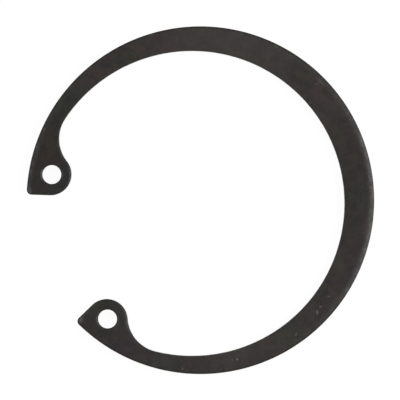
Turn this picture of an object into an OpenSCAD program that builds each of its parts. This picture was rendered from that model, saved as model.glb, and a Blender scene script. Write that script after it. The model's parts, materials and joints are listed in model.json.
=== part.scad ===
// Internal retaining ring (circlip) for a bore, stamped from spring steel sheet and shown free,
// lying flat as it comes from the box. The origin is on the axis of the rim, in the lower face.
// +Z is up through the thickness and +X runs from the gap to the wide back of the band.

/* [Ring] */
// Outer diameter of the free ring; 50.5 is the standard ring for a 47 mm bore
free_od = 50.5; // [38:0.5:80]
// Thickness of the sheet
thickness = 1.75; // [1:0.05:3]
// Radial width of the band at its back, opposite the gap
back_w = 4.4; // [3:0.1:6]
// Radial width that the tapering band would reach in the middle of the gap
taper_w = 1.8; // [1.4:0.1:2.9]

/* [Lugs] */
// Angle from the middle of the gap to each lug
lug_angle = 30.9; // [18:0.1:42]
// Height of each lug, from the rim inwards
lug_h = 6.2; // [5:0.1:8]
// Radius of the round that ends each lug
lug_r = 3.05; // [2.2:0.05:3.6]
// Radius of the hollow blend between the band and each lug
blend_r = 5.25; // [3.5:0.05:7]
// Radius of the corner between the rim and each end face
corner_r = 0.7; // [0.3:0.05:1.2]

/* [Plier holes] */
// Diameter of the hole in each lug
hole_d = 2.75; // [1.6:0.05:3.4]
// Distance from the rim to each hole's centre
hole_inset = 3.35; // [2.9:0.05:3.9]
// Depth of the broken edge at both mouths of a hole
hole_break = 0.1; // [0.05:0.01:0.2]

/* [Stamped edges] */
// Width of the rolled edge that the blanking die leaves round the upper face
roll_w = 1; // [0.4:0.05:1.3]
// Depth of that rolled edge where it meets the wall
roll_h = 0.22; // [0.1:0.01:0.3]
// Angle at which the rolled edge leaves the upper face
roll_lead = 2; // [1:0.5:4]
// Depth of the tumbled edge round the lower face of the rim
burr_break = 0.08; // [0.04:0.01:0.15]

/* [Hidden] */
$fn = 180;
// Depth by which one arc of the outline runs into the next, so that they cross and close it
bite = 0.002;
// Overshoot of cutting shapes past the faces that they cut
over = 1;

rim_r = free_od / 2;
// Distance from the axis that is well outside the rim
far = 2 * rim_r;
inner_r = rim_r - (back_w + taper_w) / 2;
inner_x = -(back_w - taper_w) / 2;

// Plan view, on the +Y side of the gap; the other side is its mirror image.
function polar(r, a) = [r * cos(a), r * sin(a)];
lug_polar = 180 - lug_angle;
lug_c = polar(rim_r - lug_h + lug_r, lug_polar);
hole_c = polar(rim_r - hole_inset, lug_polar);

// The hollow blend touches the inner circle from within and the lug's round from without.
to_lug = lug_c - [inner_x, 0];
side_inner = inner_r - blend_r;
side_lug = lug_r + blend_r;
span_lug = norm(to_lug);
blend_turn = acos((side_inner ^ 2 + span_lug ^ 2 - side_lug ^ 2) / (2 * side_inner * span_lug));
blend_polar = atan2(to_lug.y, to_lug.x) - blend_turn;
blend_c = [inner_x, 0] + polar(side_inner, blend_polar);

// Each end face lies along a ray of the rim that touches the lug's round.
face_polar = lug_polar + asin(lug_r / (rim_r - lug_h + lug_r));
face_dir = polar(1, face_polar);
face_out = polar(1, face_polar + 90);
face_foot = lug_c + face_out * (lug_r - bite);
corner_polar = face_polar - asin(corner_r / (rim_r - corner_r));
corner_c = polar(rim_r - corner_r, corner_polar);

// The rolled edge is one arc in section, from the upper face down to the wall.
roll_slope = atan(roll_h / roll_w);
roll_r = norm([roll_w, roll_h]) / (2 * sin(roll_slope - roll_lead));
roll_c = [roll_w + roll_r * sin(roll_lead), thickness - roll_r * cos(roll_lead)];

// Band of the ring in plan, left over-wide outside the rim and cut short under the lugs
module band_plan() {
    difference() {
        circle(r = rim_r + over);
        translate([inner_x, 0])
            circle(r = inner_r);
        polygon([[0, 0], polar(far, lug_polar), [-far, 0], polar(far, -lug_polar)]);
    }
}

// Material that joins one lug to the band, from the start of its blend to its end face
module web_plan() {
    difference() {
        polygon([
            blend_c,
            [inner_x, 0] + polar(far, blend_polar),
            polar(far, lug_polar),
            face_foot + face_dir * rim_r,
            face_foot,
            lug_c
        ]);
        translate(blend_c)
            circle(r = blend_r + bite);
        polygon([
            corner_c,
            corner_c + face_out * far,
            corner_c + polar(far, corner_polar)
        ]);
    }
    translate(lug_c)
        circle(r = lug_r);
    translate(corner_c)
        circle(r = corner_r + bite);
}

// Round blank whose upper edge is rolled and whose lower edge is tumbled
module rim_blank() {
    rotate_extrude()
        difference() {
            square([rim_r, thickness]);
            translate([rim_r, 0])
                edge_section();
            polygon([
                [rim_r - burr_break, 0],
                [rim_r + over, -over],
                [rim_r + over, burr_break + over],
                [rim_r, burr_break]
            ]);
        }
}

// Waste above the rolled edge in section, with the wall at x = 0 and the metal towards -x
module edge_section() {
    difference() {
        translate([-roll_w, thickness - roll_h - bite])
            square([roll_w + over, roll_h + over]);
        translate([-roll_c.x, roll_c.y])
            circle(r = roll_r);
    }
}

// Waste above the rolled edge of one end face
module face_roll() {
    translate(lug_c + face_out * lug_r)
        rotate([90, 0, face_polar + 90])
            translate([0, 0, -lug_r])
                linear_extrude(lug_r + rim_r)
                    edge_section();
}

// Plier hole with both of its mouths broken
module plier_hole() {
    translate(hole_c) {
        translate([0, 0, -over])
            cylinder(h = thickness + 2 * over, d = hole_d);
        mouth();
        translate([0, 0, thickness])
            mirror([0, 0, 1])
                mouth();
    }
}

// Cone that breaks the edge of a hole's lower mouth
module mouth() {
    depth = hole_break + over;
    translate([0, 0, -over])
        cylinder(h = depth, r1 = hole_d / 2 + depth, r2 = hole_d / 2);
}

// Its children on both sides of the gap
module both_sides() {
    children();
    mirror([0, 1, 0])
        children();
}

// The ring: one stamped piece
module retaining_ring() {
    color([0.224, 0.212, 0.204])
        difference() {
            intersection() {
                rim_blank();
                translate([0, 0, -over])
                    linear_extrude(thickness + 2 * over) {
                        band_plan();
                        both_sides()
                            web_plan();
                    }
            }
            both_sides() {
                face_roll();
                plier_hole();
            }
        }
}

retaining_ring();
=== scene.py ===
"""Looks of a stamped internal retaining ring that lies flat on a pale table and is seen from above."""
import json
import logging
import math
from dataclasses import dataclass, field
from enum import Enum
from typing import Any, TypeAlias

import bpy
import numpy as np
from mathutils import Matrix, Vector


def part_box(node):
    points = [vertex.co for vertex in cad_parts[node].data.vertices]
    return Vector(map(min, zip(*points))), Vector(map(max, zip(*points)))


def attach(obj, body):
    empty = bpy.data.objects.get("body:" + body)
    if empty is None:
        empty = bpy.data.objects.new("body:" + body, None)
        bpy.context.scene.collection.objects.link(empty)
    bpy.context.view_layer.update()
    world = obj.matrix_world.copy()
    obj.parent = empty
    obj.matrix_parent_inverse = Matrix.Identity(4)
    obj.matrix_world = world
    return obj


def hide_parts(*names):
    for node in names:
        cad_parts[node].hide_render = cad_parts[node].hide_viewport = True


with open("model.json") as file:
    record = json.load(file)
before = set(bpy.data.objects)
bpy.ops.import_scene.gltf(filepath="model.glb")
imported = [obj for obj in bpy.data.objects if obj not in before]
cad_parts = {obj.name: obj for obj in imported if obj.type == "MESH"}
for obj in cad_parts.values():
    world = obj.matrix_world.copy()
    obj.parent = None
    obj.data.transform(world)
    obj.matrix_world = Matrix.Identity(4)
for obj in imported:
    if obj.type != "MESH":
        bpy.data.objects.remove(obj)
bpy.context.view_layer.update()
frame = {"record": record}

MM = 0.001
NODE = "retaining_ring"
BODY = "root"
# The mesh's own number that tells face from wall
EDGE_NUMBER = "edge"
# The value that every noise varies round
MIDDLE = 0.5
# Sockets of a Mix node for colours: the share, the two colours and the result
MIX_SHARE, MIX_FIRST, MIX_SECOND, MIX_RESULT = 0, 6, 7, 2
# Power of an area light for each unit of its area and radiance
LIGHT_POWER = 4.0
# Greatest distance between points of the outline, and least number of points in a run of it
STEP = 0.25 * MM
FEWEST = 12

Colour: TypeAlias = tuple[float, float, float, float]
Term: TypeAlias = "Signal | float"

log = logging.getLogger(NODE)


def polar(radius: float, angle: float) -> np.ndarray:
    """Point in plan at a radius and at an angle, in radians from +X."""
    return radius * np.array([math.cos(angle), math.sin(angle)])


def angle_of(vector: np.ndarray) -> float:
    """Angle of a vector in plan, in radians from +X."""
    return math.atan2(vector[1], vector[0])


def across(first: np.ndarray, last: np.ndarray, count: int) -> np.ndarray:
    """Grid of count + 1 rows of points, in even straight steps from the row first to the row last."""
    share = np.linspace(0.0, 1.0, count + 1)[:, None, None]
    return (1.0 - share) * first[None] + share * last[None]


def srgb(red: float, green: float, blue: float) -> Colour:
    """Linear colour, with full alpha, of levels from 0 to 255 on the screen's sRGB curve."""
    levels = np.array([red, green, blue]) / 255.0
    return (*np.where(levels <= 0.04045, levels / 12.92, ((levels + 0.055) / 1.055)**2.4).tolist(), 1.0)


class Cover(Enum):
    """How a layer of colour acts on the colour under it."""

    PAINT = "MIX"
    SHADE = "MULTIPLY"


@dataclass(frozen=True)
class Fade:
    """A smooth step: start while the signal is below low, end while it is above high, eased between."""

    low: float
    high: float
    start: float = 0.0
    end: float = 1.0


@dataclass(frozen=True)
class Noise:
    """A noise: the size of its largest features in metres, its finer octaves and the share of each."""

    size: float
    detail: float = 2.0
    rough: float = 0.5


class Signal:
    """A socket that carries a value, so that shader maths reads as Python arithmetic."""

    def __init__(self, graph: "Graph", socket: bpy.types.NodeSocket) -> None:
        """Keeps the socket and the graph that it belongs to."""
        self.graph = graph
        self.socket = socket

    def math(self, operation: str, *others: Term) -> "Signal":
        """Result of a Math node that takes this signal and then the others."""
        values = dict(enumerate((self, *others)))
        return self.graph.node("ShaderNodeMath", {"operation": operation}, values)

    def __add__(self, other: Term) -> "Signal":
        """This signal plus another signal or number."""
        return self.math("ADD", other)

    __radd__ = __add__

    def __sub__(self, other: Term) -> "Signal":
        """This signal less another signal or number."""
        return self.math("SUBTRACT", other)

    def __rsub__(self, other: float) -> "Signal":
        """A number less this signal."""
        return self.math("MULTIPLY_ADD", -1.0, other)

    def __mul__(self, other: Term) -> "Signal":
        """This signal times another signal or number."""
        return self.math("MULTIPLY", other)

    def larger(self, other: Term) -> "Signal":
        """The larger of this signal and another signal or number."""
        return self.math("MAXIMUM", other)

    def ramp(self, fade: Fade) -> "Signal":
        """This signal eased by a fade."""
        values = {"Value": self, "From Min": fade.low, "From Max": fade.high,
                  "To Min": fade.start, "To Max": fade.end}
        return self.graph.node("ShaderNodeMapRange", {"interpolation_type": "SMOOTHSTEP"}, values)

    def under(self, share: Term, tint: Colour, cover: Cover = Cover.PAINT) -> "Signal":
        """This colour with a share of it under another one."""
        return self.graph.blend(share, self, tint, cover)


class Graph:
    """A node tree that is filled through one method."""

    def __init__(self, owner: bpy.types.Material | bpy.types.World) -> None:
        """Empties the owner's node tree.

        Args:
            owner: the material or the world that the tree belongs to.
        """
        owner.use_nodes = True
        self.tree = owner.node_tree
        self.tree.nodes.clear()

    def node(self, kind: str, settings: dict[str, Any] | None = None,
             values: dict[int | str, Any] | None = None, output: int | str = 0) -> Signal:
        """Adds a node, sets it up and feeds its sockets.

        Args:
            kind: the node's type.
            settings: the node's own properties, set first.
            values: numbers, colours or signals for its inputs, by name or index.
            output: the output that the result stands for.

        Returns:
            The chosen output, or the node's first input where it has no output.
        """
        made = self.tree.nodes.new(kind)
        for name, value in (settings or {}).items():
            setattr(made, name, value)
        for name, value in (values or {}).items():
            if isinstance(value, Signal):
                self.tree.links.new(value.socket, made.inputs[name])
            else:
                made.inputs[name].default_value = value
        return Signal(self, made.outputs[output] if made.outputs else made.inputs[0])

    def blend(self, share: Term, first: Signal | Colour, second: Signal | Colour,
              cover: Cover = Cover.PAINT) -> Signal:
        """Mixes two colours.

        Args:
            share: share of the second colour.
            first: colour at share 0.
            second: colour at share 1.
            cover: how the second colour acts on the first.

        Returns:
            The mixed colour.
        """
        settings = {"data_type": "RGBA", "blend_type": cover.value}
        values = {MIX_SHARE: share, MIX_FIRST: first, MIX_SECOND: second}
        return self.node("ShaderNodeMix", settings, values, MIX_RESULT)

    def noise(self, place: Signal, noise: Noise, output: int | str = 0) -> Signal:
        """Adds a noise.

        Args:
            place: coordinates in metres.
            noise: the noise's size and detail.
            output: the output that the result stands for, its value or its colour.

        Returns:
            The noise.
        """
        values = {"Vector": place, "Scale": 1.0 / noise.size, "Detail": noise.detail,
                  "Roughness": noise.rough}
        return self.node("ShaderNodeTexNoise", values=values, output=output)

    def seen(self) -> Signal:
        """Tells the rays that show a background, straight or by way of gloss or glass.

        Returns:
            1 for those rays and 0 for the rest.
        """
        kinds = ("Is Camera Ray", "Is Glossy Ray", "Is Transmission Ray")
        camera, glossy, through = (self.node("ShaderNodeLightPath", output=kind) for kind in kinds)
        return camera.larger(glossy).larger(through)


@dataclass(frozen=True)
class Spot:
    """A soft-edged ellipse in plan where the colour differs: a nick, a pit, a broad area, a painted
    highlight, or an area of painted light or painted shade.

    Its sizes are in millimetres, and turn is the angle of its length from +X in degrees. Core is the
    part of it that has its full strength, and reach is how far it goes up and down from the face.
    """

    x: float
    y: float
    length: float
    width: float
    turn: float
    strength: float
    core: float = 0.1
    reach: float = 0.3

    def mask(self, place: Signal, top: float) -> Signal:
        """Strength of the spot: full in its core and 0 outside the ellipse.

        Args:
            place: coordinates in metres.
            top: height of the upper face in metres.

        Returns:
            The strength.
        """
        local = place.graph.node("ShaderNodeMapping", {"vector_type": "TEXTURE"}, {
            "Vector": place,
            "Location": (self.x * MM, self.y * MM, top),
            "Rotation": (0.0, 0.0, math.radians(self.turn)),
            "Scale": (self.length / 2 * MM, self.width / 2 * MM, self.reach * MM)})
        away = place.graph.node("ShaderNodeVectorMath", {"operation": "LENGTH"}, {0: local}, "Value")
        return away.ramp(Fade(self.core, 1.0, self.strength, 0.0))


# Marks of the coat, placed where the photograph shows them; the last two tables are painted light and
# painted shade, and two of the nicks are painted highlights
NICKS_AND_PAINTED_HIGHLIGHTS = (
    Spot(12.33, -19.75, 0.46, 0.4, 30.0, 0.35, 0.2),
    Spot(10.72, -20.68, 0.72, 0.3, -12.0, 0.5, 0.2),
    Spot(9.96, -21.3, 0.96, 0.4, 68.0, 0.55, 0.2),
    Spot(5.94, -23.18, 0.5, 0.36, 40.0, 0.45, 0.2),
    Spot(-3.31, -23.46, 0.5, 0.42, -30.0, 0.55, 0.2),
    Spot(-4.0, -23.3, 0.4, 0.3, 20.0, 0.45, 0.2),
    Spot(-11.27, -21.9, 0.6, 0.34, 68.0, 0.4, 0.2),
    Spot(21.83, 9.73, 0.8, 0.4, 10.0, 0.25),
    Spot(22.48, 9.79, 1.9, 0.8, -61.0, 0.15),
    Spot(20.02, 7.48, 0.4, 0.36, 0.0, 0.4, 0.2),
    # Painted highlight: the lower lug's rounded corner tip, lit from the gap's side
    Spot(-22.39, -9.91, 1.5, 0.9, 68.0, 0.38, 0.2, 0.6),
    # Painted highlight: the upper lug's rim just before its corner
    Spot(-22.7, 10.0, 1.8, 0.9, 66.0, 0.3, 0.2, 0.6),
)
DARK_PITS = (
    Spot(6.0, -23.62, 0.5, 0.4, 20.0, 0.9, 0.2),
    Spot(-3.85, -23.35, 0.4, 0.34, 68.0, 0.8, 0.2),
    Spot(-2.95, -23.45, 0.4, 0.3, 68.0, 0.7, 0.2),
    Spot(11.3, -18.75, 0.46, 0.36, 0.0, 0.8, 0.2),
    Spot(9.05, -20.65, 0.46, 0.4, 40.0, 0.6, 0.2),
    Spot(12.46, 18.55, 0.6, 0.4, -40.0, 0.6, 0.2),
    Spot(17.9, 17.2, 0.6, 0.46, 10.0, 0.7, 0.2),
    Spot(-3.45, 22.9, 0.55, 0.4, 60.0, 0.8, 0.2),
    Spot(17.2, -12.9, 0.6, 0.46, 20.0, 0.6, 0.2),
)
BROWN_STAINS = (
    Spot(-17.6, 14.6, 7.0, 4.8, 56.0, 1.0, 0.2),
    Spot(22.3, -0.2, 4.6, 3.6, 90.0, 0.6),
    Spot(21.0, -12.6, 4.6, 3.0, 60.0, 0.6),
    Spot(21.3, 9.0, 16.0, 4.4, 117.0, 0.45),
    Spot(11.7, -19.8, 6.0, 3.0, 23.0, 0.5),
)
MAUVE_AREAS = (
    Spot(18.3, 13.2, 8.0, 5.0, 125.0, 1.0),
    Spot(2.6, 23.2, 8.0, 4.2, 166.0, 1.0),
    Spot(16.0, -17.9, 14.0, 3.4, 45.0, 1.0),
    Spot(-4.8, -23.9, 9.0, 3.0, 172.0, 1.0),
    Spot(9.8, -21.3, 6.4, 2.4, 35.0, 1.0),
    Spot(20.3, 8.4, 6.4, 4.4, 71.0, 0.5, 0.0),
    Spot(23.4, 0.2, 5.0, 3.0, 80.0, 1.0),
    Spot(-17.6, -16.0, 8.0, 3.8, 135.0, 1.0),
    Spot(-17.3, -9.8, 3.2, 2.2, 136.0, 0.7),
)
OLIVE_AREAS = (
    Spot(-12.9, 20.4, 9.0, 3.8, 36.0, 1.0),
    Spot(-2.7, 23.0, 6.5, 4.2, 10.0, 1.0),
    Spot(5.0, -22.9, 8.0, 4.6, 25.0, 1.0),
    Spot(13.0, -21.3, 4.4, 2.0, 35.0, 1.0),
    Spot(-20.9, -9.3, 7.6, 2.6, 18.0, 1.0),
    Spot(21.2, -8.4, 12.0, 5.4, 60.0, 0.5),
    Spot(-17.8, 9.9, 7.0, 3.0, 25.0, 0.8),
    Spot(21.3, 11.5, 3.6, 2.4, 166.0, 0.8),
)
LILAC_AREAS = (
    Spot(-19.2, -14.6, 7.0, 3.0, 135.0, 0.7),
    Spot(-16.6, -11.6, 4.0, 2.0, 127.0, 0.6),
    Spot(19.2, 13.6, 6.0, 3.0, 125.0, 0.6),
    Spot(6.1, 21.3, 4.0, 1.6, 164.0, 0.6),
    Spot(19.5, 8.5, 4.0, 2.0, 114.0, 0.4),
)
TEAL_AREAS = (
    Spot(-17.0, 10.4, 6.0, 2.4, 63.0, 0.8),
    Spot(-12.9, 20.1, 9.0, 4.0, 32.0, 0.4),
    Spot(10.6, 19.6, 5.0, 2.6, 156.0, 0.5),
    Spot(-17.0, -9.6, 4.0, 2.2, 127.0, 0.5),
    Spot(-12.9, -20.5, 6.0, 3.6, 131.0, 0.5),
    Spot(4.9, -21.9, 6.4, 2.8, 15.0, 0.5),
)
# Painted light: broad areas of the face made lighter where more light falls
PAINTED_LIGHT_AREAS = (
    Spot(11.3, 20.0, 34.0, 14.0, 150.6, 0.24, 0.1, 4.0),
    Spot(-2.2, -23.3, 23.0, 10.0, 172.0, 0.14, 0.1, 4.0),
    Spot(-13.4, -20.0, 7.0, 6.0, 146.0, 0.14, 0.1, 4.0),
    # Painted highlight: these two widen the rim's highlight at the back
    Spot(21.0, -12.6, 4.6, 2.2, 59.0, 0.22, 0.1, 4.0),
    Spot(23.9, 6.6, 6.4, 1.8, 105.0, 0.15, 0.1, 4.0),
)
# Painted shade: broad areas of the face and rim made darker where less light falls
PAINTED_SHADE_AREAS = (
    Spot(21.2, -6.5, 42.0, 12.0, 73.0, 0.45, 0.1, 4.0),
    Spot(13.9, -17.4, 12.0, 8.0, 38.0, 0.18, 0.1, 4.0),
    Spot(-17.5, 13.2, 30.0, 14.0, 53.0, 0.58, 0.3, 4.0),
    Spot(-20.4, -8.3, 18.0, 12.0, -68.0, 0.35, 0.3, 4.0),
    Spot(0.8, -24.7, 9.0, 1.8, 2.0, 0.35, 0.2, 4.0),
    Spot(-8.4, -21.6, 4.4, 3.4, 159.0, 0.2, 0.1, 4.0),
)

BARE_STEEL = srgb(98, 97, 95)
DEEP_COAT = srgb(18, 17, 16)


class Surface:
    """The ring's surface as a finish reads it: coordinates in metres and the edge number."""

    def __init__(self, graph: Graph, thickness: float) -> None:
        """Reads Object coordinates and the mesh's edge number.

        Args:
            graph: the material's graph.
            thickness: thickness of the sheet in metres, which is the height of its upper face.
        """
        self.graph = graph
        self.thickness = thickness
        self.place = graph.node("ShaderNodeTexCoord", output="Object")
        self.right, self.ahead, self.height = (
            graph.node("ShaderNodeSeparateXYZ", values={0: self.place}, output=axis) for axis in "XYZ")
        self.edge = graph.node("ShaderNodeAttribute", {"attribute_name": EDGE_NUMBER}, output="Fac")

    def noise(self, noise: Noise) -> Signal:
        """A noise on the surface's coordinates."""
        return self.graph.noise(self.place, noise)

    def marks(self, spots: tuple[Spot, ...], place: Signal | None = None) -> Signal:
        """The strongest of several spots at each place.

        Args:
            spots: the spots.
            place: coordinates in metres, where they aren't the surface's own.

        Returns:
            The strength.
        """
        strongest, *others = (spot.mask(place or self.place, self.thickness) for spot in spots)
        for other in others:
            strongest = strongest.larger(other)
        return strongest


@dataclass(frozen=True)
class Look:
    """Colour, roughness and relief of a surface, as far as a finish has built them up."""

    colour: Signal
    rough: Signal
    relief: Signal


@dataclass(frozen=True)
class Coat:
    """Black phosphate: clouds of olive and mauve, fainter tints, fine crystals, marks in places, and
    areas of painted light and painted shade.
    """

    mauve: Colour = srgb(41, 33, 35)
    olive: Colour = srgb(37, 38, 31)
    lilac: Colour = srgb(38, 34, 38)
    teal: Colour = srgb(31, 34, 33)
    brown: Colour = srgb(44, 36, 29)
    dark: Colour = DEEP_COAT
    bare: Colour = BARE_STEEL
    # Painted light: the colour of its areas
    painted_light: Colour = srgb(66, 61, 59)
    # Painted shade: the share of colour kept in its areas
    shade: Colour = (0.3, 0.3, 0.3, 1.0)
    clouds: Noise = Noise(3.6 * MM, 2.0, 0.6)
    veils: Noise = Noise(2.4 * MM, 3.0, 0.6)
    patches: Noise = Noise(1.2 * MM, 3.0, 0.65)
    motes: Noise = Noise(0.9 * MM, 3.0, 0.65)
    grain: Noise = Noise(0.12 * MM)
    fray: Noise = Noise(0.3 * MM)
    noise_pull: float = 0.35
    area_pull: float = 0.14
    pull_level: float = 0.15
    mauve_fade: Fade = Fade(0.38, 0.62)
    lilac_fade: Fade = Fade(0.28, 0.5, 0.5, 0.0)
    brown_fade: Fade = Fade(0.5, 0.72, 0.0, 0.5)
    stain_fade: Fade = Fade(0.3, 0.6)
    patch_fade: Fade = Fade(0.3, 0.65, 0.5, 0.0)
    grain_fade: Fade = Fade(0.6, 0.8, 0.0, 0.2)
    roughness: float = 0.37
    patch_rough: float = 0.22
    grain_rough: float = 0.12
    patch_relief: float = 1.5

    def clouded(self, surface: Surface) -> Signal:
        """Colour of the clouds, from olive to mauve as the pull towards mauve grows.

        The pull is a share of clouds and motes, plus a share of the mauve areas less the olive ones,
        plus a level.

        Args:
            surface: the coated surface.

        Returns:
            The colour.
        """
        clouds = surface.noise(self.clouds) * self.noise_pull
        motes = surface.noise(self.motes) * self.noise_pull
        areas = surface.marks(MAUVE_AREAS) - surface.marks(OLIVE_AREAS)
        pull = clouds + motes + areas * self.area_pull + self.pull_level
        return surface.graph.blend(pull.ramp(self.mauve_fade), self.olive, self.mauve)

    def frayed(self, surface: Surface) -> Signal:
        """Coordinates that the fray noise shifts along each axis by half its size either way.

        Args:
            surface: the coated surface.

        Returns:
            The coordinates plus the noise's size times the noise, less half the size.
        """
        graph = surface.graph
        shift = graph.noise(surface.place, self.fray, output="Color")
        shifted = graph.node("ShaderNodeVectorMath", {"operation": "MULTIPLY_ADD"}, {
            0: shift, 1: (self.fray.size,) * 3, 2: surface.place})
        return graph.node("ShaderNodeVectorMath", {"operation": "SUBTRACT"}, {
            0: shifted, 1: (self.fray.size * MIDDLE,) * 3})

    def colour(self, surface: Surface, patches: Signal, grain: Signal) -> Signal:
        """Colour of the coat: its clouds, and over them each further tint, mark, painted light and
        painted shade in turn.

        Args:
            surface: the coated surface.
            patches: the noise of its patches.
            grain: the noise of its crystals.

        Returns:
            The colour.
        """
        veils = surface.noise(self.veils)
        lilacs = veils.ramp(self.lilac_fade).larger(surface.marks(LILAC_AREAS))
        stains = surface.marks(BROWN_STAINS) * patches.ramp(self.stain_fade)
        browns = veils.ramp(self.brown_fade).larger(stains)
        frayed = self.frayed(surface)
        layers = (
            (lilacs, self.lilac),
            (surface.marks(TEAL_AREAS), self.teal),
            (browns, self.brown),
            (patches.ramp(self.patch_fade), self.dark),
            (grain.ramp(self.grain_fade), self.bare),
            # Painted light over broad areas
            (surface.marks(PAINTED_LIGHT_AREAS), self.painted_light),
            # Painted shade over broad areas
            (surface.marks(PAINTED_SHADE_AREAS), self.shade, Cover.SHADE),
            (surface.marks(DARK_PITS, frayed), self.dark),
            # Bare nicks, and painted highlights at the lugs' corners
            (surface.marks(NICKS_AND_PAINTED_HIGHLIGHTS, frayed), self.bare),
        )
        colour = self.clouded(surface)
        for layer in layers:
            colour = colour.under(*layer)
        return colour

    def look(self, surface: Surface) -> Look:
        """Coats a surface.

        Args:
            surface: the coated surface.

        Returns:
            The coat's colour, its roughness and the relief of its crystals and patches.
        """
        patches = surface.noise(self.patches)
        grain = surface.noise(self.grain)
        rough = (self.roughness + (patches - MIDDLE) * self.patch_rough
                 + (grain - MIDDLE) * self.grain_rough)
        return Look(self.colour(surface, patches, grain), rough, grain + patches * self.patch_relief)


@dataclass(frozen=True)
class RolledEdge:
    """Rolled edge: wavy, rubbed bare in patches along the rim, and darkened on its brow by chipping and
    painted shade.

    Each fade follows the edge number, and each tone follows its noise.
    """

    bare: Colour = BARE_STEEL
    # Colour of the chipping and of the painted shade on the brow
    dark: Colour = DEEP_COAT
    rubs: Noise = Noise(1.3 * MM, 3.0, 0.7)
    brow_noise: Noise = Noise(0.35 * MM)
    round_radius: float = 25.0 * MM
    outward_stretch: float = 2.2
    rub_fade: Fade = Fade(0.0, 0.1)
    rub_tone: Fade = Fade(0.5, 0.7, 0.0, 0.2)
    # Chipping and painted shade on the brow: where it lies and how strong it is
    brow_fade: Fade = Fade(0.08, 0.4)
    brow_tone: Fade = Fade(0.45, 0.65, 0.5, 1.0)
    wave_fade: Fade = Fade(0.0, 0.05)
    wave_rough: float = 0.9
    wave_relief: float = 14.0

    def rubbed(self, surface: Surface) -> Signal:
        """Noise that follows the rim.

        Its coordinates are the angle round the axis times a radius, and the distance from the axis
        times a stretch.

        Args:
            surface: the worn surface.

        Returns:
            The noise.
        """
        right, ahead = surface.right, surface.ahead
        along = ahead.math("ARCTAN2", right) * self.round_radius
        outward = (right * right + ahead * ahead).math("SQRT") * self.outward_stretch
        swept = surface.graph.node("ShaderNodeCombineXYZ", values={"X": along, "Y": outward})
        return surface.graph.noise(swept, self.rubs)

    def worn(self, look: Look, surface: Surface) -> Look:
        """Wears the rolled edge of a coated surface.

        Args:
            look: the look so far.
            surface: the worn surface.

        Returns:
            The look with rubs, waves, and chipping and painted shade on the brow.
        """
        rubs = self.rubbed(surface)
        rub_share = surface.edge.ramp(self.rub_fade) * rubs.ramp(self.rub_tone)
        # Chipping and painted shade: the brow darkened all round the rim
        chips_and_painted_shade = surface.edge.ramp(self.brow_fade) * surface.noise(self.brow_noise).ramp(self.brow_tone)
        waves = (MIDDLE - rubs) * surface.edge.ramp(self.wave_fade)
        return Look(look.colour.under(rub_share, self.bare).under(chips_and_painted_shade, self.dark),
                    look.rough + waves * self.wave_rough, look.relief + waves * self.wave_relief)


@dataclass(frozen=True)
class ShearedWall:
    """Wall that blanking leaves: burnished above and torn below, with a ragged line between them.

    What counts is the height plus the streaks' noise times ragged: up to torn_to the wall is torn, and
    from burnished_from it is burnished, which are shares of the thickness.
    """

    burnish: Colour = srgb(84, 80, 77)
    dark: Colour = DEEP_COAT
    streaks: Noise = Noise(0.16 * MM)
    streak_squeeze: float = 0.05
    ragged: float = 0.35 * MM
    torn_to: float = 0.5
    burnished_from: float = 0.6
    wall_fade: Fade = Fade(0.5, 1.0)
    streak_fade: Fade = Fade(0.35, 0.7, 0.1, 0.5)
    torn_dark: float = 0.45
    burnish_smooth: float = 0.06
    torn_rough: float = 0.2
    streak_relief: float = 3.0

    def sheared(self, look: Look, surface: Surface) -> Look:
        """Shears the wall of a coated surface.

        Args:
            look: the look so far.
            surface: the sheared surface.

        Returns:
            The look with a burnished and a torn band and their streaks.
        """
        squeezed = surface.graph.node("ShaderNodeMapping", values={
            "Vector": surface.place, "Scale": (1.0, 1.0, self.streak_squeeze)})
        streaks = surface.graph.noise(squeezed, self.streaks)
        wall = surface.edge.ramp(self.wall_fade)
        line_fade = Fade(self.torn_to * surface.thickness, self.burnished_from * surface.thickness)
        burnished = (surface.height + streaks * self.ragged).ramp(line_fade) * wall
        torn = wall - burnished
        colour = look.colour.under(burnished * streaks.ramp(self.streak_fade), self.burnish)
        return Look(colour.under(torn * self.torn_dark, self.dark),
                    look.rough - burnished * self.burnish_smooth + torn * self.torn_rough,
                    look.relief + streaks * wall * self.streak_relief)


@dataclass(frozen=True)
class PhosphateFinish:
    """Black phosphate on stamped spring steel: its coat, its worn rolled edge and its sheared wall, with
    painted light and shade.
    """

    coat: Coat = Coat()
    edge: RolledEdge = RolledEdge()
    wall: ShearedWall = ShearedWall()
    gloss: float = 0.2
    gloss_tint: Colour = (1.0, 0.985, 0.965, 1.0)
    bump_strength: float = 0.5
    bump_height: float = 0.006 * MM

    def material(self, name: str, thickness: float) -> bpy.types.Material:
        """Makes the material.

        Args:
            name: the material's name.
            thickness: thickness of the sheet in metres.

        Returns:
            The material, which reads Object coordinates and the mesh's edge number.
        """
        made = bpy.data.materials.new(name)
        graph = Graph(made)
        surface = Surface(graph, thickness)
        look = self.wall.sheared(self.edge.worn(self.coat.look(surface), surface), surface)
        bump = graph.node("ShaderNodeBump", values={
            "Strength": self.bump_strength, "Distance": self.bump_height, "Height": look.relief})
        skin = graph.node("ShaderNodeBsdfPrincipled", values={
            "Base Color": look.colour, "Roughness": look.rough, "Normal": bump,
            "Specular IOR Level": self.gloss, "Specular Tint": self.gloss_tint})
        graph.node("ShaderNodeOutputMaterial", values={"Surface": skin})
        return made


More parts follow.
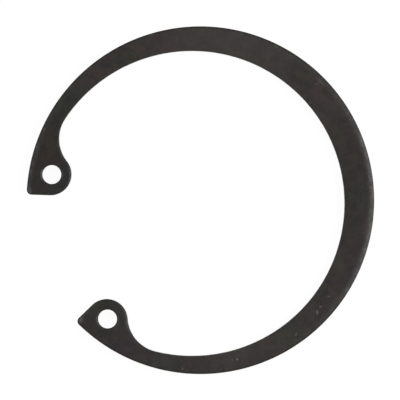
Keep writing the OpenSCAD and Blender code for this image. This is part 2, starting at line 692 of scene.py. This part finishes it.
@dataclass(frozen=True)
class TableFinish:
    """Plain white board that is seen as the photograph's white ground and keeps a faint shadow.

    What is seen is an even white of strength ground in the given share, and the lit board in the rest.
    """

    board: Colour = (0.9, 0.9, 0.9, 1.0)
    ground: float = 1.02
    share: float = 0.93

    def material(self, name: str) -> bpy.types.Material:
        """Makes the material.

        Args:
            name: the material's name.

        Returns:
            The material, white where it is seen and a plain board to every other ray.
        """
        made = bpy.data.materials.new(name)
        graph = Graph(made)
        matt = graph.node("ShaderNodeBsdfDiffuse", values={"Color": self.board})
        glow = graph.node("ShaderNodeEmission", values={"Strength": self.ground})
        mixed = graph.node("ShaderNodeMixShader", values={0: graph.seen() * self.share, 1: matt, 2: glow})
        graph.node("ShaderNodeOutputMaterial", values={"Surface": mixed})
        return made


@dataclass(frozen=True)
class EdgeForm:
    """Form of a stamped edge: how far its roll reaches in over the face, and its end slope in degrees."""

    width: float
    steep: float

    def plain(self) -> np.ndarray:
        """The width, and the end slope in radians."""
        return np.array([self.width, math.radians(self.steep)])

    def towards(self, other: "EdgeForm", count: int) -> np.ndarray:
        """Widths and end slopes of an edge that eases into another form.

        The share s of the way becomes s squared times (3 - 2 s), so that both ends run on smoothly.

        Args:
            other: the form at the far end.
            count: number of places, the far end left out.

        Returns:
            An array of count rows, each a width and a slope in radians.
        """
        share = np.linspace(0.0, 1.0, count, endpoint=False)[:, None]
        eased = share**2 * (3.0 - 2.0 * share)
        return (1.0 - eased) * self.plain() + eased * other.plain()


@dataclass(frozen=True)
class Stretch:
    """A run of the outline, walked with the metal on the left, its last point left out.

    Each point has its normal out of the metal, and its roll's width and end slope in radians.
    """

    points: np.ndarray
    normals: np.ndarray
    edges: np.ndarray

    @staticmethod
    def count(length: float) -> int:
        """Number of points along a run of a given length."""
        return max(FEWEST, math.ceil(length / STEP))

    @classmethod
    def arc(cls, centre: np.ndarray, radius: float, turns: tuple[float, float],
            edges: tuple[EdgeForm, EdgeForm], count: int = 0, hollow: bool = False) -> "Stretch":
        """Points along an arc: the centre plus the radius times the direction at each angle.

        Args:
            centre: the arc's centre in plan.
            radius: its radius.
            turns: angles of its first and last points, in radians.
            edges: forms of the edge at its first and last points.
            count: number of points, where it isn't the usual one for such a length.
            hollow: whether the metal lies outside the arc.

        Returns:
            The arc.
        """
        count = count or cls.count(radius * np.ptp(turns))
        turn = np.linspace(*turns, count, endpoint=False)
        out = np.stack([np.cos(turn), np.sin(turn)], axis=1)
        return cls(centre + radius * out, -out if hollow else out, edges[0].towards(edges[1], count))

    @classmethod
    def straight(cls, first: np.ndarray, last: np.ndarray, out: np.ndarray,
                 edges: tuple[EdgeForm, EdgeForm]) -> "Stretch":
        """Points along a line: the start plus an even share of the way to the end.

        Args:
            first: the line's start.
            last: the line's end.
            out: direction out of the metal.
            edges: forms of the edge at its first and last points.

        Returns:
            The line.
        """
        count = cls.count(np.linalg.norm(last - first))
        share = np.linspace(0.0, 1.0, count, endpoint=False)[:, None]
        normals = np.repeat(out[None], count, axis=0)
        return cls(first + share * (last - first), normals, edges[0].towards(edges[1], count))

    @staticmethod
    def joined(parts: list["Stretch"]) -> "Stretch":
        """One run made of several, in order."""
        return Stretch(*(np.concatenate([getattr(part, name) for part in parts])
                         for name in ("points", "normals", "edges")))


@dataclass
class Plan:
    """Outline of one half of the ring in plan, with the gap towards -X and the half at +Y.

    The band is back_width wide at its back and would taper to taper_width in the middle of the gap. A
    name in _at is the centre of an arc, and one in _turn an angle from +X where one run meets the next.
    Neck_out is the direction from the lug's centre to the blend's.
    """

    rim_radius: float
    hole_radius: float
    hole_at: np.ndarray
    back_width: float = 4.4 * MM
    taper_width: float = 1.8 * MM
    lug_height: float = 6.2 * MM
    lug_radius: float = 3.05 * MM
    blend_radius: float = 5.25 * MM
    corner_radius: float = 0.7 * MM
    rim_edge: EdgeForm = EdgeForm(1.0 * MM, 22.8)
    corner_edge: EdgeForm = EdgeForm(0.64 * MM, 32.0)
    lug_edge: EdgeForm = EdgeForm(0.6 * MM, 24.0)
    fine_edge: EdgeForm = EdgeForm(0.3 * MM, 12.0)
    inner_radius: float = field(init=False)
    inner_at: np.ndarray = field(init=False)
    lug_at: np.ndarray = field(init=False)
    blend_at: np.ndarray = field(init=False)
    corner_at: np.ndarray = field(init=False)
    blend_turn: float = field(init=False)
    corner_turn: float = field(init=False)
    face_turn: float = field(init=False)
    neck_out: float = field(init=False)
    neck_turn: float = field(init=False)

    def __post_init__(self) -> None:
        """Finds the centres of the arcs and the angles where they meet.

        The hollow blend touches the inner circle from within and the lug's round from without, so the
        cosine rule gives its centre. The end face lies on a ray of the rim that touches the lug's round.
        """
        self.inner_radius = self.rim_radius - (self.back_width + self.taper_width) / 2
        self.inner_at = np.array([-(self.back_width - self.taper_width) / 2, 0.0])
        lug_turn = angle_of(self.hole_at)
        lug_reach = self.rim_radius - self.lug_height + self.lug_radius
        self.lug_at = polar(lug_reach, lug_turn)
        to_lug = self.lug_at - self.inner_at
        inner_to_lug = np.linalg.norm(to_lug)
        inner_to_blend = self.inner_radius - self.blend_radius
        lug_to_blend = self.lug_radius + self.blend_radius
        self.blend_turn = angle_of(to_lug) - math.acos(
            (inner_to_blend**2 + inner_to_lug**2 - lug_to_blend**2) / (2 * inner_to_blend * inner_to_lug))
        self.blend_at = self.inner_at + polar(inner_to_blend, self.blend_turn)
        corner_reach = self.rim_radius - self.corner_radius
        self.face_turn = lug_turn + math.asin(self.lug_radius / lug_reach)
        self.corner_turn = self.face_turn - math.asin(self.corner_radius / corner_reach)
        self.corner_at = polar(corner_reach, self.corner_turn)
        self.neck_out = angle_of(self.blend_at - self.lug_at)
        self.neck_turn = angle_of(self.lug_at + polar(self.lug_radius, self.neck_out))

    def rim_side(self, inner_count: int, blend_count: int) -> Stretch:
        """The rim from the back to the neck, with as many points as the inner edge beside it.

        Args:
            inner_count: points along the inner circle.
            blend_count: points along the hollow blend.

        Returns:
            The run.
        """
        root = angle_of(self.inner_at + polar(self.inner_radius, self.blend_turn))
        edges = (self.rim_edge, self.rim_edge)
        return Stretch.joined([
            Stretch.arc(np.zeros(2), self.rim_radius, (0.0, root), edges, inner_count),
            Stretch.arc(np.zeros(2), self.rim_radius, (root, self.neck_turn), edges, blend_count)])

    def lug_side(self) -> Stretch:
        """The lug from the neck round its corner, end face and round to the hollow blend.

        Returns:
            The run.
        """
        face_out = self.face_turn + math.pi / 2
        face_start = self.corner_at + polar(self.corner_radius, face_out)
        face_end = self.lug_at + polar(self.lug_radius, face_out)
        round_turns = (face_out, self.neck_out + 2 * math.pi)
        return Stretch.joined([
            Stretch.arc(np.zeros(2), self.rim_radius, (self.neck_turn, self.corner_turn),
                        (self.rim_edge, self.corner_edge)),
            Stretch.arc(self.corner_at, self.corner_radius, (self.corner_turn, face_out),
                        (self.corner_edge, self.corner_edge)),
            Stretch.straight(face_start, face_end, polar(1.0, face_out),
                             (self.corner_edge, self.lug_edge)),
            Stretch.arc(self.lug_at, self.lug_radius, round_turns, (self.lug_edge, self.lug_edge))])

    def inner_side(self) -> tuple[Stretch, int, int]:
        """The hollow blend and the inner circle as far as the back, with its last point.

        Returns:
            The run, and its numbers of points along the inner circle and along the blend.
        """
        blend = Stretch.arc(self.blend_at, self.blend_radius, (self.neck_out + math.pi, self.blend_turn),
                            (self.lug_edge, self.fine_edge), hollow=True)
        inner = Stretch.arc(self.inner_at, self.inner_radius, (self.blend_turn, 0.0),
                            (self.fine_edge, self.fine_edge), hollow=True)
        back = Stretch((self.inner_at + polar(self.inner_radius, 0.0))[None],
                       np.array([[-1.0, 0.0]]), self.fine_edge.plain()[None])
        return Stretch.joined([blend, inner, back]), len(inner.points), len(blend.points)


@dataclass(frozen=True)
class EdgeSection:
    """Section of the stamped edge, which is carried along the outline from the upper to the lower face.

    It is a shallow roll that leaves the face at the lead slope, in degrees, a small round brow, a plain
    wall and a quarter of a circle, the tumbled edge. A point of an arc at slope a lies its radius times
    sin a across and its radius times cos a up from the arc's centre. A row's edge number is 0 on the
    face, brow_number where the brow begins, and 1 on the wall.
    """

    lead: float = 2.0
    brow: float = 0.05 * MM
    brow_number: float = 0.5
    tumbled: float = 0.08 * MM
    roll_rows: int = 10
    brow_rows: int = 4
    wall_rows: int = 6
    tumbled_rows: int = 4

    def upper(self, width: np.ndarray, steep: np.ndarray, top: float) -> tuple[np.ndarray, ...]:
        """The roll, from the upper face to its end slope, and the brow, from there to the wall.

        Args:
            width: at each place, how far the two reach in.
            steep: at each place, the slope in radians at which the roll ends.
            top: height of the upper face.

        Returns:
            Rows of insets, rows of heights, and each row's edge number.
        """
        lead = math.radians(self.lead)
        share = np.linspace(0.0, 1.0, self.roll_rows + 1)[:, None]
        turn = np.linspace(0.0, 1.0, self.brow_rows + 1)[1:, None]
        slope = lead + share * (steep - lead)
        radius = (width - self.brow * (1.0 - np.sin(steep))) / (np.sin(steep) - math.sin(lead))
        inset = width - radius * (np.sin(slope) - math.sin(lead))
        height = top - radius * (math.cos(lead) - np.cos(slope))
        brow_slope = steep + turn * (math.pi / 2 - steep)
        brow_inset = self.brow * (1.0 - np.sin(brow_slope))
        brow_height = height[-1:] - self.brow * (np.cos(steep) - np.cos(brow_slope))
        roll_edge = self.brow_number * share[:, 0]**3
        brow_edge = self.brow_number + (1.0 - self.brow_number) * turn[:, 0]
        return (np.concatenate([inset, brow_inset]), np.concatenate([height, brow_height]),
                np.concatenate([roll_edge, brow_edge]))

    def lower(self, top: np.ndarray) -> tuple[np.ndarray, ...]:
        """The wall, a straight line down from the brow, and the tumbled edge.

        Args:
            top: height of the wall's upper end at each place.

        Returns:
            Rows of insets, rows of heights, and each row's edge number.
        """
        drop = np.linspace(0.0, 1.0, self.wall_rows + 1)[1:-1, None]
        slope = np.linspace(0.0, math.pi / 2, self.tumbled_rows + 1)[:, None]
        even = np.ones_like(top)
        inset = self.tumbled * (1.0 - np.cos(slope)) * even
        wall_height = top + drop * (self.tumbled - top)
        height = self.tumbled * (1.0 - np.sin(slope)) * even
        return (np.concatenate([np.zeros_like(wall_height), inset]),
                np.concatenate([wall_height, height]),
                np.concatenate([np.ones(len(drop)), np.cos(slope[:, 0])]))

    def sweep(self, run: Stretch, thickness: float) -> tuple[np.ndarray, np.ndarray]:
        """Carries the section along a run: each point moves in along its normal by each row's inset.

        Args:
            run: the run.
            thickness: thickness of the sheet.

        Returns:
            Rows of points from the upper to the lower face, and each row's edge number.
        """
        width, steep = run.edges.T
        upper = self.upper(width, steep, thickness)
        lower = self.lower(upper[1][-1])
        inset, height, edge = (np.concatenate(rows) for rows in zip(upper, lower))
        plan = run.points[None] - run.normals[None] * inset[..., None]
        return np.concatenate([plan, height[..., None]], axis=2), edge


class Face(Enum):
    """The two faces of the sheet: the first and the last row of every swept edge."""

    UPPER = 0
    LOWER = -1


@dataclass
class Skin:
    """Patches of a surface, which are joined where their points lie within weld of each other."""

    points: list[np.ndarray] = field(default_factory=list)
    edges: list[np.ndarray] = field(default_factory=list)
    quads: list[np.ndarray] = field(default_factory=list)
    size: int = 0
    weld: float = 1e-5 * MM

    def add(self, grid: np.ndarray, edge: np.ndarray | float, turned: bool = False) -> None:
        """Adds a grid of points as quads that face along row direction times column direction.

        Args:
            grid: rows of points.
            edge: the edge number of each row, or one for all.
            turned: whether the quads face the other way.
        """
        rows, columns = grid.shape[:2]
        number = self.size + np.arange(rows * columns).reshape(rows, columns)
        quads = np.stack([number[:-1, :-1], number[1:, :-1], number[1:, 1:], number[:-1, 1:]], axis=-1)
        self.quads.append((quads[..., ::-1] if turned else quads).reshape(-1, 4))
        self.points.append(grid.reshape(-1, 3))
        self.edges.append(np.repeat(np.broadcast_to(edge, rows), columns))
        self.size += rows * columns

    def mirror(self) -> None:
        """Adds the image of every patch on the other side of y = 0, facing outwards too."""
        for points, edges, quads in list(zip(self.points, self.edges, self.quads)):
            shift = self.size - int(quads.min())
            self.quads.append(quads[:, ::-1] + shift)
            self.points.append(points * [1.0, -1.0, 1.0])
            self.edges.append(edges)
            self.size += len(points)

    def mesh(self, name: str) -> bpy.types.Mesh:
        """Welds the patches and makes a smooth mesh of them.

        Args:
            name: the mesh's name.

        Returns:
            The mesh, with its edge number as a point attribute.
        """
        points = np.concatenate(self.points)
        cells = np.round(points / self.weld).astype(np.int64)
        _, first, index = np.unique(cells, axis=0, return_index=True, return_inverse=True)
        quads = index.reshape(-1)[np.concatenate(self.quads)]
        made = bpy.data.meshes.new(name)
        made.from_pydata(points[first].tolist(), [], quads.tolist())
        made.polygons.foreach_set("use_smooth", np.ones(len(made.polygons), bool))
        edge = made.attributes.new(EDGE_NUMBER, "FLOAT", "POINT")
        edge.data.foreach_set("value", np.concatenate(self.edges)[first].astype(np.float32))
        made.update()
        return made


@dataclass
class RetainingRing:
    """The ring: stamped edges swept round its outline, its two faces and its two plier holes."""

    plan: Plan
    thickness: float
    section: EdgeSection = EdgeSection()
    hole_edge: EdgeForm = EdgeForm(0.42 * MM, 38.0)
    finish: PhosphateFinish = PhosphateFinish()
    band_rows: int = 12
    lug_rows: int = 10

    @classmethod
    def from_frame(cls) -> "RetainingRing":
        """Takes the sizes that the frame gives: the rim, the plier holes and the thickness.

        Returns:
            The ring, ready to build.
        """
        mounts = {mount["name"]: mount for mount in frame["record"]["mounts"]}
        hole = mounts["plier_hole_left"]
        low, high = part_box(NODE)
        plan = Plan(rim_radius=mounts["groove_rim"]["dims"]["r_mm"] * MM,
                    hole_radius=hole["dims"]["r_mm"] * MM, hole_at=np.array(hole["pos_m"][:2]))
        return cls(plan, thickness=high.z - low.z)

    def hole_run(self, loop: np.ndarray) -> Stretch:
        """The plier hole's edge, with a point towards each point of the loop that surrounds it.

        Args:
            loop: closed loop of points in plan.

        Returns:
            The run: the hole's centre plus its radius times the direction to each point.
        """
        out = loop - self.plan.hole_at
        out /= np.linalg.norm(out, axis=1)[:, None]
        edges = np.tile(self.hole_edge.plain(), (len(out), 1))
        return Stretch(self.plan.hole_at + self.plan.hole_radius * out, -out, edges)

    def skin(self) -> Skin:
        """Works out one half of the ring, patch by patch, and mirrors it.

        The outline runs from the back along the rim to the neck, round the lug to the throat, where the
        hollow blend begins, and along the inner edge to the back again. On each face the band is a grid
        from rim to inner edge, and the lug a grid from the loop round it to the mouth of its hole.

        Returns:
            The whole ring's skin.
        """
        skin = Skin()
        inner, inner_count, blend_count = self.plan.inner_side()
        rim = self.plan.rim_side(inner_count, blend_count)
        outline = Stretch.joined([rim, self.plan.lug_side(), inner])
        neck = inner_count + blend_count
        throat = len(outline.points) - neck - 1
        edge, edge_numbers = self.section.sweep(outline, self.thickness)
        skin.add(edge, edge_numbers)
        plan = outline.points
        neck_line = across(plan[None, throat], plan[None, neck], self.band_rows)[1:, 0]
        hole = self.hole_run(np.concatenate([plan[neck:throat + 1], neck_line]))
        mouth, mouth_numbers = self.section.sweep(hole, self.thickness)
        skin.add(mouth, mouth_numbers, turned=True)
        for face in Face:
            turned = face is Face.UPPER
            border = edge[face.value]
            band = across(border[:neck + 1], border[throat:][::-1], self.band_rows)
            skin.add(band, 0.0, turned)
            loop = np.concatenate([border[neck:throat + 1], band[:-1, -1][::-1]])
            skin.add(across(loop, mouth[face.value], self.lug_rows), 0.0, turned)
        skin.mirror()
        return skin

    def build(self) -> bpy.types.Object:
        """Makes the ring's object and dresses it in its finish.

        Returns:
            The object, which stands for the CAD node.
        """
        mesh = self.skin().mesh("stamped_ring")
        mesh.materials.append(self.finish.material("black_phosphate", self.thickness))
        made = bpy.data.objects.new("stamped_ring", mesh)
        bpy.context.scene.collection.objects.link(made)
        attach(made, BODY)
        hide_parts(NODE)
        return made


@dataclass
class Table:
    """The pale board that the ring lies on, a hair below it."""

    side: float = 900.0 * MM
    below: float = 0.01 * MM
    finish: TableFinish = TableFinish()

    def build(self) -> bpy.types.Object:
        """Makes the board, a square sheet just under the ring.

        Returns:
            The board's object.
        """
        corners = np.array([[-1, -1], [1, -1], [1, 1], [-1, 1]]) * self.side / 2
        points = np.column_stack([corners, np.full(4, -self.below)])
        mesh = bpy.data.meshes.new("table")
        mesh.from_pydata(points.tolist(), [], [(0, 1, 2, 3)])
        mesh.materials.append(self.finish.material("white_board"))
        made = bpy.data.objects.new("table", mesh)
        bpy.context.scene.collection.objects.link(made)
        return made


@dataclass(frozen=True)
class Softbox:
    """An oblong studio light that faces the ring.

    Its turn is counted in degrees from the picture's right, and its tilt in degrees from the zenith.
    """

    name: str
    turn: float
    tilt: float
    width: float
    height: float
    radiance: float
    distance: float = 200.0 * MM

    def build(self, picture_turn: float) -> bpy.types.Object:
        """Hangs the light in its direction and aims it at the origin.

        Args:
            picture_turn: angle in degrees from the picture's right to the ring's +X.

        Returns:
            The light's object.
        """
        data = bpy.data.lights.new(self.name, "AREA")
        data.shape = "RECTANGLE"
        data.size = self.width
        data.size_y = self.height
        data.energy = LIGHT_POWER * self.width * self.height * self.radiance
        tilt = math.radians(self.tilt)
        out = Vector((*polar(math.sin(tilt), math.radians(self.turn - picture_turn)), math.cos(tilt)))
        facing = out.to_track_quat("Z", "Y").to_matrix().to_4x4()
        made = bpy.data.objects.new(self.name, data)
        made.matrix_world = Matrix.Translation(out * self.distance) @ facing
        made.visible_camera = False
        bpy.context.scene.collection.objects.link(made)
        return made


@dataclass
class Studio:
    """Soft white light from all round, a key softbox beside the ring's back and a fill beside its gap."""

    picture_turn: float
    around: float = 0.53
    softboxes: tuple[Softbox, ...] = (
        Softbox("key", turn=0.0, tilt=48.5, width=155.0 * MM, height=125.0 * MM, radiance=4.35),
        Softbox("fill", turn=180.0, tilt=45.0, width=130.0 * MM, height=130.0 * MM, radiance=1.5),
    )

    def build(self) -> list[bpy.types.Object]:
        """Fills the world with even white light and hangs the softboxes.

        Returns:
            The softboxes' objects.
        """
        world = bpy.data.worlds.new("studio")
        bpy.context.scene.world = world
        graph = Graph(world)
        strength = self.around + graph.seen() * (1.0 - self.around)
        glow = graph.node("ShaderNodeBackground", values={
            "Color": (1.0, 1.0, 1.0, 1.0), "Strength": strength})
        graph.node("ShaderNodeOutputWorld", values={"Surface": glow})
        return [softbox.build(self.picture_turn) for softbox in self.softboxes]


@dataclass
class PhotoCamera:
    """A long lens straight above the ring, in the photograph's frame.

    The frame is view_width wide at the height plane, and the ring's axis lies a little right of its
    centre and below it. Lens and sensor are in millimetres, and picture_turn is in degrees.
    """

    plane: float
    lens: float = 500.0
    sensor: float = 36.0
    picture_turn: float = 21.1
    view_width: float = 58.065 * MM
    frame_pixels: float = 400.0
    ring_right_pixels: float = 0.358
    ring_down_pixels: float = 0.211

    def build(self) -> bpy.types.Object:
        """Makes the scene's camera, turned so that +X points where the ring's back is in the photograph.

        Returns:
            The camera's object.
        """
        data = bpy.data.cameras.new("camera")
        data.lens = self.lens
        data.sensor_width = self.sensor
        made = bpy.data.objects.new("camera", data)
        turn = math.radians(-self.picture_turn)
        pixel = self.view_width / self.frame_pixels
        right, up = polar(1.0, turn), polar(1.0, turn + math.pi / 2)
        centre = pixel * (self.ring_down_pixels * up - self.ring_right_pixels * right)
        height = self.plane + self.view_width * self.lens / self.sensor
        made.matrix_world = Matrix.Translation((*centre, height)) @ Matrix.Rotation(turn, 4, "Z")
        bpy.context.scene.collection.objects.link(made)
        bpy.context.scene.camera = made
        return made


def main() -> None:
    """Builds the ring, the table, the camera and the lights in order, and reports each."""
    logging.basicConfig(level=logging.INFO, format="%(name)s: %(message)s")
    bpy.context.scene.view_settings.view_transform = "Standard"
    ring = RetainingRing.from_frame()
    camera = PhotoCamera(plane=ring.thickness)
    studio = Studio(camera.picture_turn)
    for made in (ring.build(), Table().build(), camera.build(), *studio.build()):
        log.info("built %s", made.name)


if __name__ == "__main__":
    main()
